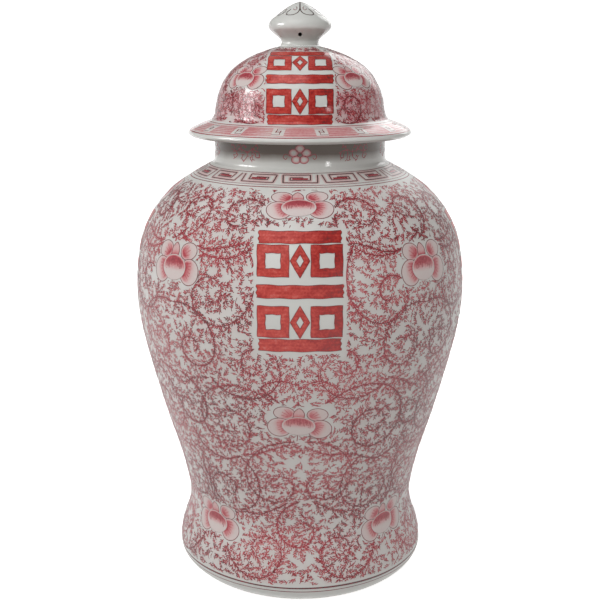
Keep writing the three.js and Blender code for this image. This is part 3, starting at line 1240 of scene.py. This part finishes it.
def brushed(x, y, along_x, seed):
    """Vermilion density with long brush streaks, darker where the brush was lifted at the right."""
    across = y if along_x else x
    run = x if along_x else y
    streak = 0.05 * np.sin(across * 1.9 + seed) + 0.03 * np.sin(across * 4.1 + seed * 3 + run * 0.12)
    pool = 0.16 * fade(run * (1 if along_x else -1), -4, 30)
    blotch = 0.07 * np.sin(run * 0.35 + seed * 2) * np.sin(across * 0.4 + seed)
    return np.clip(0.66 + streak + pool + blotch, 0.2, 1)


class Lattice(Motif):
    """An open lattice of bars, squares and lozenges, the same left to right and top to bottom."""

    LIFT = 0.16

    def filled(self, rows, along_x, seed):
        return toned(brushed(rows[..., 0], rows[..., 1], along_x, seed), VERMILION, rows.shape[:2])

    def bar(self, centre, half_wide, half_tall, seed):
        """A solid bar with ends and edges that waver a little."""
        x = np.linspace(-half_wide, half_wide, max(int(half_wide * 2 / 1.8), 4))
        y = np.linspace(-half_tall, half_tall, max(int(half_tall * 2 / 1.1), 4))
        rows = np.stack(np.meshgrid(x, y), axis=-1)
        rows[..., 1] += 0.25 * np.sin(rows[..., 0] * 0.3 + seed) * np.sign(rows[..., 1])
        rows[..., 0] *= 1 + 0.02 * np.sin(rows[..., 1] * 1.3 + seed)
        rows = rows + centre
        tones = self.filled(rows, half_wide > half_tall, seed)
        self.paint.loft(self.places(rows), tones, self.LIFT, False)
        edge = np.concatenate([rows[0], rows[1:-1, -1], rows[-1, ::-1], rows[-2:0:-1, 0], rows[:1, 0]])
        self.line(edge, 0.55, 0.9, 0.6, self.LIFT + 0.03)

    def frame(self, outer, inner, seed):
        """An open ring between two outlines with as many points each."""
        shares = np.linspace(0, 1, 6)[:, None, None]
        rows = outer + (inner - outer) * shares
        self.paint.loft(self.places(rows), self.filled(rows, True, seed), self.LIFT, True)
        for ring in (outer, inner):
            self.line(closed_path(ring), 0.55, 0.9, 0.6, self.LIFT + 0.03)

    def square(self, centre, seed):
        corners = np.array([(-1, -1), (1, -1), (1, 1), (-1, 1), (-1, -1)], float)
        outer = eased(corners * SQUARE_HALF, 1.8)[:-1]
        inner = outer * (SQUARE_HALF - SQUARE_BORDER) / SQUARE_HALF
        waver = 0.2 * np.sin(np.arange(len(outer)) * 0.7 + seed)[:, None]
        self.frame(outer + waver + centre, inner - waver + centre, seed)

    def lozenge(self, centre, seed):
        corners = np.array([(0, -1), (1, 0), (0, 1), (-1, 0), (0, -1)], float)
        outer = eased(corners * LOZENGE_HALVES, 1.4)[:-1]
        inner = outer * (1 - LOZENGE_BORDER / min(LOZENGE_HALVES))
        self.frame(outer + centre, inner + centre, seed)


def lattice_panel(paint, angle, along, size, chance):
    """Three long bars with rows of open squares and lozenges between them."""
    panel = Lattice(paint, angle, along, size)
    for row, y in enumerate((-PANEL_HALF_HEIGHT + BAR_HALF, 0, PANEL_HALF_HEIGHT - BAR_HALF)):
        half_wide = PANEL_HALF_WIDTH - (0 if row == 1 else 1.5)
        panel.bar((0, y), half_wide, BAR_HALF, chance.uniform(0, 6))
    for y in (-SQUARE_MIDDLE, SQUARE_MIDDLE):
        for x in (-SQUARE_OUT, SQUARE_OUT):
            panel.square((x, y), chance.uniform(0, 6))
        panel.lozenge((0, y), chance.uniform(0, 6))


# ---------------------------------------------------------------- painting the jar

# Scrolls on the right half of one quarter of the body. The left half mirrors them.
# angle, height and radius of the scroll, then its root's angle and height, turns and hand.
BODY_SCROLLS = [
    (22.5, 341, 20, 41, 321, 1.6, -1),
    (29.5, 284, 21, 19, 324, 1.6, 1),
    (36.5, 238, 18, 45, 272, 1.5, 1),
    (14.5, 228, 18, 31, 214, 1.5, -1),
    (27, 171, 27, 8, 196, 1.9, -1),
    (9.5, 119, 18, 1, 160, 1.5, -1),
    (33.5, 108, 20, 24, 142, 1.6, 1),
    (18.5, 50, 19, 37, 74, 1.6, -1),
]
# Scrolls that stand on the middle line of a quarter, or on the line between two quarters.
MIDDLE_SCROLLS = [
    (45, 343, 14, 45, 322, 1.3, 1),
    (45, 178, 15, 44, 212, 1.4, -1),
    (0, 72, 15, 0, 100, 1.4, 1),
]
# Plain stems between scrolls, as (angle, height) stations on the right half of a quarter.
BODY_STEMS = [
    [(47, 330), (41, 321), (30, 318), (19, 324), (12, 322)],
    [(31, 214), (39, 208), (45, 200)],
    [(8, 196), (12, 208), (6, 216), (0, 212)],
    [(24, 142), (17, 146), (10, 150), (2, 158)],
    [(24, 142), (33, 136), (42, 142), (46, 156)],
    [(37, 74), (42, 84), (46, 98), (44, 122), (46, 140)],
    [(6, 98), (18, 88), (28, 84), (37, 74)],
]
# Lotus flowers of one quarter: angle, height, width and height against the drawn size, strength.
BODY_FLOWERS = [
    (0, 351, 1.14, 1.15, 1.35), (45, 302, 1.14, 1.42, 1.35), (0, 177, 1.12, 1.2, 1.05),
    (45, 67, 1.1, 1.32, 1.3),
]
PANEL_MIDDLE = 306.7
VINE_FOOT = 35.0
VINE_TOP = 396.0
# Bands that the vine is split into, from the foot up, with each one's upper height.
VINE_ZONES = {
    "waist": 105, "low_flank": 160, "high_flank": BODY_SEAM_HEIGHT, "belly": 290, "shoulder": math.inf,
}
STRAY = 1.2
BODY_SPRIG_TRIES = 24000
BODY_WASH = 0.28
LID_WASH = 1.0


def each_side(stations):
    """Stations in all four quarters, on both halves of each."""
    for quarter in PANEL_ANGLES:
        for side in (1, -1):
            yield [(quarter + side * angle, height) for angle, height in stations], side


def body_scrolls(chance):
    for angle, height, radius, root_angle, root_height, turns, hand in BODY_SCROLLS:
        for (centre, root), side in each_side([(angle, height), (root_angle, root_height)]):
            yield centre, root, radius * chance.uniform(0.94, 1.06), turns, hand * side
    for angle, height, radius, root_angle, root_height, turns, hand in MIDDLE_SCROLLS:
        for quarter in PANEL_ANGLES:
            yield (quarter + angle, height), (quarter + root_angle, root_height), radius, turns, hand


def on_skin(skin, stations):
    return [(angle, float(skin.along(height))) for angle, height in stations]


def jittered(spot, chance):
    """A place moved a little, as a painter who doesn't measure would set it."""
    return (spot[0] + chance.normal(0, STRAY * 0.4), spot[1] + chance.normal(0, STRAY))


def paint_body():
    chance = np.random.default_rng(11)
    limits = [float(jar_skin.along(height)) for height in [*VINE_ZONES.values()][:-1]]
    parts = [(limit, Paint(jar_skin), Paint(jar_skin)) for limit in (*limits, math.inf)]
    panels, flowers, lines = (Paint(jar_skin) for _ in range(3))
    vine = Vine(jar_skin, VINE_FOOT, VINE_TOP, seed=5)
    for quarter in PANEL_ANGLES:
        vine.keep_clear(quarter, PANEL_MIDDLE, PANEL_HALF_WIDTH + 2, PANEL_HALF_HEIGHT + 2, oval=False)
        lattice_panel(panels, quarter, PANEL_MIDDLE, (1.0, 1.0), chance)
        for angle, height, wide, tall, strength in BODY_FLOWERS:
            along = float(jar_skin.along(height))
            lotus(flowers, quarter + angle, along, (wide, tall), chance, strength)
            keep_lotus_clear(vine, quarter + angle, along, (wide, tall))
    for stations in BODY_STEMS:
        for mirrored, _ in each_side(stations):
            spots = on_skin(jar_skin, [jittered(spot, chance) for spot in mirrored])
            vine.add_stem(curve_through(spots, jar_skin))
    for centre, root, radius, turns, hand in body_scrolls(chance):
        centre, root = on_skin(jar_skin, [jittered(centre, chance), root])
        vine.add_scroll(centre, root, radius, turns, hand)
    vine.branch(0, TWIG_LENGTH, TWIG_EVERY)
    vine.branch(1, TWIG_LENGTH * 0.7, TWIG_EVERY)
    vine.fill(BODY_SPRIG_TRIES)
    vine.paint(parts)
    for zone, (_, stems, leaves) in zip(VINE_ZONES, parts):
        show(f"{zone}_vine_stems", stems.mesh("stems"), BODY_PAINT, "jar", "decorated_porcelain")
        show(f"{zone}_vine_leaves", leaves.mesh("leaves"), BODY_PAINT, "jar", "decorated_porcelain")
    for name in ("lower_body_glazed", "upper_body_glazed"):
        tint(bpy.data.objects[name], jar_skin, vine.haze(), BODY_WASH)
    bands(lines, chance)
    for name, marks in (("panels", panels), ("flowers", flowers), ("bands", lines)):
        show(f"body_{name}", marks.mesh(name), BODY_PAINT, "jar", "decorated_porcelain")


# Lines round the foot and shoulder: length up the outline, width and density.
BODY_LINES = [(32.6, 1.5, 0.92), (28.9, 0.7, 0.85), (416.8, 0.7, 0.85), (400.8, 0.6, 0.8), (398.1, 0.8, 0.8)]


def bands(paint, chance):
    """The lines above the foot and the fret band on the shoulder."""
    for along, width, density in BODY_LINES:
        ring_line(paint, chance, along, width, density)
    fret_band(paint, 403.0, 415.3, 16, chance, 0.22, 1.0)


paint_body()


# ---------------------------------------------------------------- painting the lid, neck and knob

LID_PANEL_ANGLES = (0, 180)
LID_PANEL_MIDDLE = 66.0
LID_PANEL_SIZE = (0.83, 0.80)
LID_FLOWER_MIDDLE = 66.7
LID_FLOWER_SIZE = (0.86, 0.95)
LID_VINE_FOOT = 27.5
LID_VINE_TOP = lid_skin.walked[-1] - 3
LID_KEYS = 16
LID_SPRIG_TRIES = 8000

# Scrolls on the right half of the lid's front: angle and length of centre, radius, root, hand.
LID_SCROLLS = [
    (35, 42, 11, 26, 30, 1),
    (66, 44, 13, 50, 34, -1),
    (90, 74, 15, 78, 52, 1),
    (97, 40, 11, 84, 30, 1),
    (22, 104, 7, 40, 94, -1),
]


def paint_lid():
    chance = np.random.default_rng(23)
    stems, leaves, motifs = (Paint(lid_skin) for _ in range(3))
    vine = Vine(lid_skin, LID_VINE_FOOT, LID_VINE_TOP, seed=9)
    for angle in LID_PANEL_ANGLES:
        lattice_panel(motifs, angle, LID_PANEL_MIDDLE, LID_PANEL_SIZE, chance)
        half_wide = PANEL_HALF_WIDTH * LID_PANEL_SIZE[0] + 1.2
        half_tall = PANEL_HALF_HEIGHT * LID_PANEL_SIZE[1] + 1
        vine.keep_clear(angle, LID_PANEL_MIDDLE, half_wide, half_tall, oval=False)
    for angle in FLOWER_ANGLES:
        lotus(motifs, angle, LID_FLOWER_MIDDLE, LID_FLOWER_SIZE, chance, 1.3)
        keep_lotus_clear(vine, angle, LID_FLOWER_MIDDLE, LID_FLOWER_SIZE)
    for angle, along, radius, root_angle, root_along, hand in LID_SCROLLS:
        for face in LID_PANEL_ANGLES:
            for side in (1, -1):
                centre = (face + side * angle, along)
                root = (face + side * root_angle, root_along)
                vine.add_scroll(centre, root, radius, 1.3, hand * side)
    vine.branch(0, 9, TWIG_EVERY * 0.8)
    vine.branch(1, 6, TWIG_EVERY * 0.8)
    vine.fill(LID_SPRIG_TRIES)
    vine.paint([(math.inf, stems, leaves)])
    tint(bpy.data.objects["lid_shell_glazed"], lid_skin, vine.haze(), LID_WASH)
    show("lid_vine_stems", stems.mesh("stems"), LID_PAINT, "lid", "decorated_porcelain")
    show("lid_vine_leaves", leaves.mesh("leaves"), LID_PAINT, "lid", "decorated_porcelain")
    lid_bands(motifs, chance)
    show("lid_flowers_and_bands", motifs.mesh("motifs"), LID_PAINT, "lid", "decorated_porcelain")


def washed_ring(paint, low, high, density, lift, chance):
    """An uneven wash all the way round between two lengths."""
    turns = np.arange(240) * 1.5
    rows = np.linspace(low, high, 9)
    spots = np.stack(np.broadcast_arrays(turns, rows[:, None]), axis=-1).astype(float)
    wave = np.sin(np.radians(turns * 8)) + np.sin(np.radians(turns * 13) + 2)
    density = density + 0.05 * wave + chance.normal(0, 0.03, spots.shape[:2])
    paint.loft(spots, toned(density, ROSE, spots.shape[:2]), lift, wrap=True)


def lid_bands(paint, chance):
    """The hatched band on the lid's flange, with pale keys let into it."""
    washed_ring(paint, 8.2, 23.4, 0.28, THIN_LIFT, chance)
    for along in (6.9, 24.9):
        ring_line(paint, chance, along, 0.9, 0.72)
    for along in (10.2, 13.0, 15.8, 18.6, 21.2):
        ring_line(paint, chance, along, 0.7, 0.5, THIN_LIFT + 0.04)
    for key in range(LID_KEYS):
        motif = Motif(paint, 360 / LID_KEYS * (key + 0.5), 15.9, mirror=1 if key % 2 else -1)
        ground = eased([(-5, -6.2), (5, -6.2), (5, 6.2), (-5, 6.2), (-5, -6.2)], 1.6)[:-1]
        motif.petal(ground, lambda x, y, share: 0.03, THIN_LIFT + 0.07, rows=4)
        crook = [(-5, -5), (1.5, -5), (1.5, 1.2), (-2, 1.2), (-2, -1.8)]
        for turn in (1, -1):
            motif.line(turn * eased(crook), 0.6, 0.85, lift=THIN_LIFT + 0.1)


# One sprig on the neck: short curls as (x, y) stations round its middle.
NECK_CURLS = [
    [(-13, 1), (-8, 3), (-3, 1), (3, 2.5), (8, 0.5), (13, 2)],
    [(-13, 1), (-13.5, -2.5), (-10.5, -2.6), (-10.8, -0.2)],
    [(-8, 3), (-7, -1), (-8.2, -4.4), (-6, -4.8), (-5.5, -2.5)],
    [(-3, 1), (-3.2, -2), (-1, -4.6), (1.6, -4.4), (1.8, -2), (0.2, -1.6)],
    [(3, 2.5), (2, 5), (-1, 5.4), (-2, 4)],
    [(8, 0.5), (7, -2.6), (9.6, -4), (11.6, -2.2)],
    [(8, 0.5), (9.5, 4), (12, 5), (13.2, 3.6)],
    [(-8, 3), (-10, 5.4), (-12.4, 4.8)],
    [(3, 2.5), (4.6, 5.2), (7, 4.6)],
]
NECK_SPRIG_ANGLES = (-78, -38, 38, 78)
NECK_SPRIG_HEIGHT = 386.5


def neck_sprig(motif, chance):
    """A row of curls with short leaves on their outer sides."""
    for curl in NECK_CURLS:
        path = smooth([(x + chance.normal(0, 0.25), y + chance.normal(0, 0.25)) for x, y in curl], 5)
        motif.line(path, 0.55, 0.72)
        for spot in path[2::4]:
            lean = chance.uniform(0, 2 * math.pi)
            tip = spot + np.array([math.cos(lean), math.sin(lean)]) * 1.9
            motif.line([spot, (spot + tip) / 2, tip], 0.5, 0.66)


def neck_flower(motif):
    """Five rolled petals round a small heart, with a curl on each side."""
    for step in range(5):
        turn = math.radians(90 + 72 * step)
        centre = (math.cos(turn) * 4.2, math.sin(turn) * 3.9)
        petal = ellipse(centre, 2.9, 2.5, 18)
        motif.petal(petal, lambda x, y, share: 0.45 * fade(share, 0.2, 1.0), THIN_LIFT, rows=5)
        motif.line(closed_path(petal), 0.5, 0.74, lift=THIN_LIFT + 0.04)
    motif.line(closed_path(ellipse((0, 0), 1.5, 1.4, 12)), 0.5, 0.8, lift=THIN_LIFT + 0.07)
    for side in (-1, 1):
        curl = [(side * 6, -1), (side * 9, 0.5), (side * 10.5, -1.5), (side * 9, -3), (side * 8, -1.8)]
        motif.line(smooth(curl, 4), 0.55, 0.72)


def paint_neck():
    chance = np.random.default_rng(31)
    paint = Paint(jar_skin)
    along = float(jar_skin.along(NECK_SPRIG_HEIGHT))
    for face in (0, 180):
        neck_flower(Motif(paint, face, along, (1.3, 1.25)))
        for angle in NECK_SPRIG_ANGLES:
            mirror = 1 if angle > 0 else -1
            neck_sprig(Motif(paint, face + angle, along, (1.12, 1.15), mirror=mirror), chance)
    show("neck_sprigs", paint.mesh("neck_sprigs"), LID_PAINT, "jar", "plain_porcelain")


KNOB_LEAF_PAIRS = 4
# Half of a pair of leaves on the knob, as (angle, height) stations: the rib from the tip that
# turns out into the leaf's lower edge, and the eye inside the leaf.
KNOB_LEAF = [
    (0, 507.4), (0, 504.5), (1, 501.5), (6, 498.8), (16, 497.0), (28, 496.6), (36, 497.2),
    (39, 499.2), (34, 501.6),
]
KNOB_EYE = [(26, 501.8), (16, 500.6), (12, 502.4), (20, 503.6)]


def paint_knob():
    """Pairs of leaf outlines that hang from the knob's tip, each leaf with a small eye."""
    paint = Paint(knob_skin)
    for pair in range(KNOB_LEAF_PAIRS):
        rib = 360 / KNOB_LEAF_PAIRS * pair
        for side in (-1, 1):
            for stations, width, dark in ((KNOB_LEAF, 0.9, 1.1), (KNOB_EYE, 0.55, 0.85)):
                turned = [(rib + side * angle, height) for angle, height in stations]
                paint.stroke(curve_through(on_skin(knob_skin, turned), knob_skin, 0.6), width, dark)
    show("knob_leaf_outlines", paint.mesh("knob_leaves"), LID_PAINT, "lid", "plain_porcelain")


paint_lid()
paint_neck()
paint_knob()


# ---------------------------------------------------------------- studio

CAMERA_PLACE = (0, -0.925, 0.4775)
CAMERA_PITCH_DOWN = 0.24356
CAMERA_LENS = 63.11
JAR_MIDDLE = (0, 0, 0.33)
FLOOR_GLOW = 0.74
# Room light from straight down, 0, through the horizon, 0.5, to straight up, 1.
ROOM_RAMP = [
    (0.0, (0.75, 0.73, 0.72)),
    (0.3, (0.42, 0.40, 0.39)),
    (0.44, (0.13, 0.10, 0.085)),
    (0.56, (0.30, 0.29, 0.28)),
    (1.0, (0.42, 0.42, 0.42)),
]


def camera():
    seen = bpy.data.cameras.new("camera")
    seen.lens = CAMERA_LENS
    seen.sensor_width = 36
    seen.clip_start = 0.05
    placed = put("camera", seen)
    placed.location = CAMERA_PLACE
    placed.rotation_euler = (math.pi / 2 - CAMERA_PITCH_DOWN, 0, 0)
    bpy.context.scene.camera = placed


def around(angle, elevation, distance):
    """A place round the jar: angle from the front towards +X, elevation above the horizon."""
    turn, climb = math.radians(angle), math.radians(elevation)
    flat = distance * math.cos(climb)
    return (
        JAR_MIDDLE[0] + flat * math.sin(turn),
        JAR_MIDDLE[1] - flat * math.cos(turn),
        JAR_MIDDLE[2] + distance * math.sin(climb),
    )


def softbox(name, place, width, height, watts, lights=True, glints=True, only=None):
    """A rectangular light facing the jar. It may light it, be seen in its gloss, or both.

    With only, it reaches just the pieces whose material is in that list.
    """
    light = bpy.data.lights.new(name, "AREA")
    light.shape = "RECTANGLE"
    light.size = width
    light.size_y = height
    light.energy = watts
    placed = put(name, light)
    placed.location = place
    aim = np.array(JAR_MIDDLE) - np.array(place)
    yaw = math.atan2(aim[1], aim[0]) - math.pi / 2
    tilt = math.atan2(math.hypot(aim[0], aim[1]), -aim[2])
    placed.rotation_euler = (tilt, 0, yaw)
    placed.visible_diffuse = lights
    placed.visible_glossy = glints
    if only:
        reached = bpy.data.collections.new(name + "_reaches")
        for piece in bpy.context.scene.objects:
            if piece.type == "MESH" and piece.data.materials[0] in only:
                reached.objects.link(piece)
        placed.light_linking.receiver_collection = reached


def backdrop():
    """A pale floor that sweeps up far behind the jar on every side, as in a photo studio."""
    flat = 2.2
    bend = 1.0
    profile = [(0, 0), (flat / 2, 0), (flat, 0)]
    for turn in np.arange(1, 13) * math.pi / 24:
        profile.append((flat + bend * math.sin(turn), bend * (1 - math.cos(turn))))
    vertices, faces = turned(profile[::-1], 96)
    mesh = bpy.data.meshes.new("studio_floor")
    mesh.from_pydata(vertices, [], faces)
    mesh.shade_smooth()
    on = Nodes(bpy.data.materials.new("studio_floor"))
    grain = on.node("ShaderNodeTexNoise", {"Scale": 3.0, "Detail": 2.0}).outputs["Fac"]
    tone = on.ramp(grain, [(0.0, (0.90, 0.90, 0.90)), (1.0, (0.94, 0.94, 0.94))])
    on.feed(on.shader, {"Base Color": tone, "Roughness": 0.9})
    on.feed(on.shader, {"Emission Color": (1, 1, 1, 1), "Emission Strength": FLOOR_GLOW})
    mesh.materials.append(on.made)
    floor = put("studio_floor", mesh)
    floor.visible_diffuse = False


def world():
    """Soft room light: pale from above, and dim and warm from below."""
    on = Nodes(bpy.data.worlds.new("studio"), "Background")
    height = on.node("ShaderNodeSeparateXYZ", {"Vector": on.coordinates["Generated"]}).outputs["Z"]
    colour = on.ramp(on.spread(height, 0.0, 1.0, start=-1.0), ROOM_RAMP)
    on.feed(on.shader, {"Color": colour, "Strength": 1.0})
    bpy.context.scene.world = on.made


camera()
world()
backdrop()
softbox("window", around(-78, 24, 2.1), 1.15, 0.85, 10.5, glints=False)
softbox("window_glint", around(-78, 24, 2.1), 0.9, 0.75, 110, lights=False, only=LID_MATERIALS)
softbox("far_window", around(38, 11, 1.7), 0.15, 0.22, 1.5)
softbox("front_key", around(-18, 34, 2.0), 1.2, 0.8, 17, glints=False)
softbox("ceiling", around(-30, 66, 1.8), 1.2, 1.0, 5)
softbox("back_fill", around(152, 28, 2.2), 1.2, 1.2, 9)
bpy.context.scene.view_settings.view_transform = "Standard"
